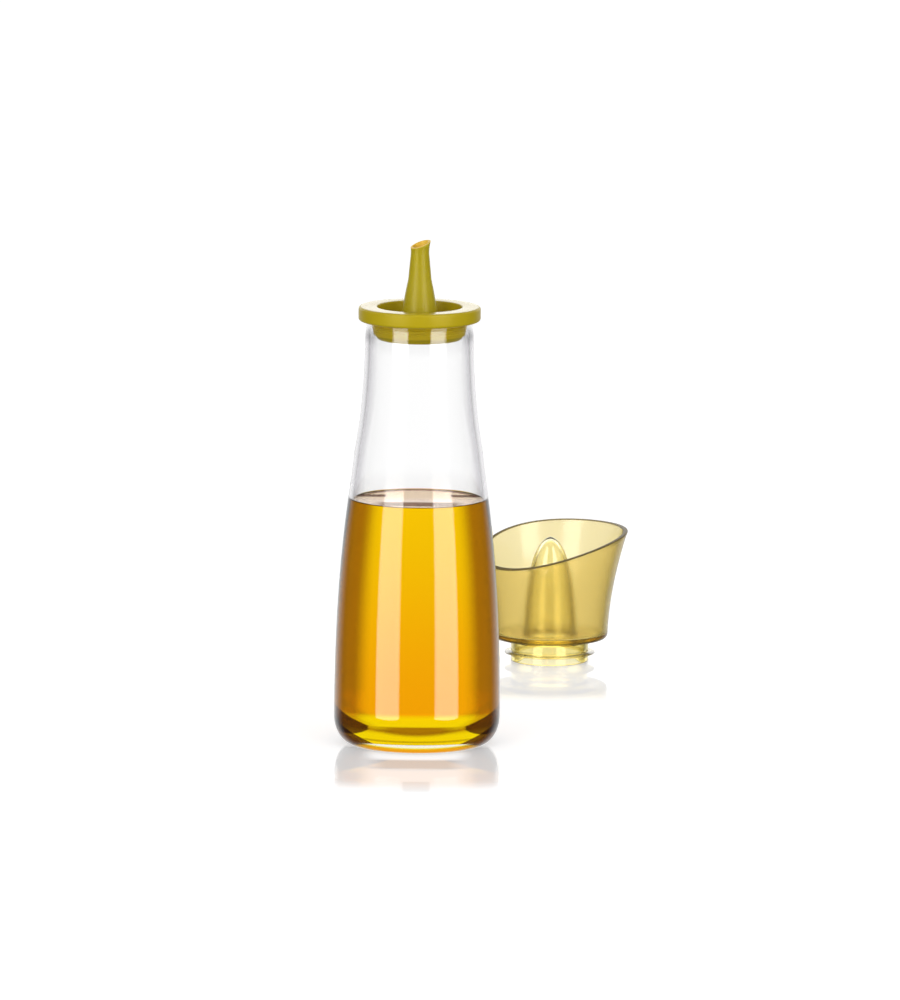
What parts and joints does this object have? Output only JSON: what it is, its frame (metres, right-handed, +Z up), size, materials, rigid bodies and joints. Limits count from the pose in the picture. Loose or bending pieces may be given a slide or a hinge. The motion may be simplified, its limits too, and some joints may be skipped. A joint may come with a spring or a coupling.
{
  "type": "oil cruet",
  "caption": "Tall glass oil cruet that swells to its foot, with a ribbed push-in pourer, a slanted spout and a separate flared cap with a slanted mouth round an inner cone.",
  "frame": {"origin": "centre of the bottle's flat foot, on the table", "axes": "+Z up the bottle, +X to the right of the front view, +Y away from the viewer, towards the cap that stands behind and to the right"},
  "size_m": [0.1134, 0.2609, 0.1932],
  "materials": {
    "clear_glass": "gloss",
    "oil": "gloss",
    "pourer_plastic": "satin",
    "spout_plastic": "satin",
    "seal_silicone": "satin",
    "cap_haze": "satin",
    "cap_clear": "gloss",
    "lip_silicone": "satin"
  },
  "bodies": {
    "bottle": {"glass_bottle": "clear_glass", "oil_fill": "oil"},
    "pourer": {"pourer_body": "pourer_plastic", "pour_spout": "spout_plastic", "plug_seal": "seal_silicone"},
    "cap": {"cap_cup": "cap_haze", "cap_cone": "cap_clear", "cap_seal": "lip_silicone"}
  },
  "joints": [
    {"name": "pourer_pull", "type": "slide", "parent": "bottle", "child": "pourer", "axis": [0, 0, 1], "range_m": [0, 0.03]},
    {"name": "cap_lift", "type": "slide", "parent": "bottle", "child": "cap", "axis": [0, 0, 1], "range_m": [0, 0.06]}
  ]
}
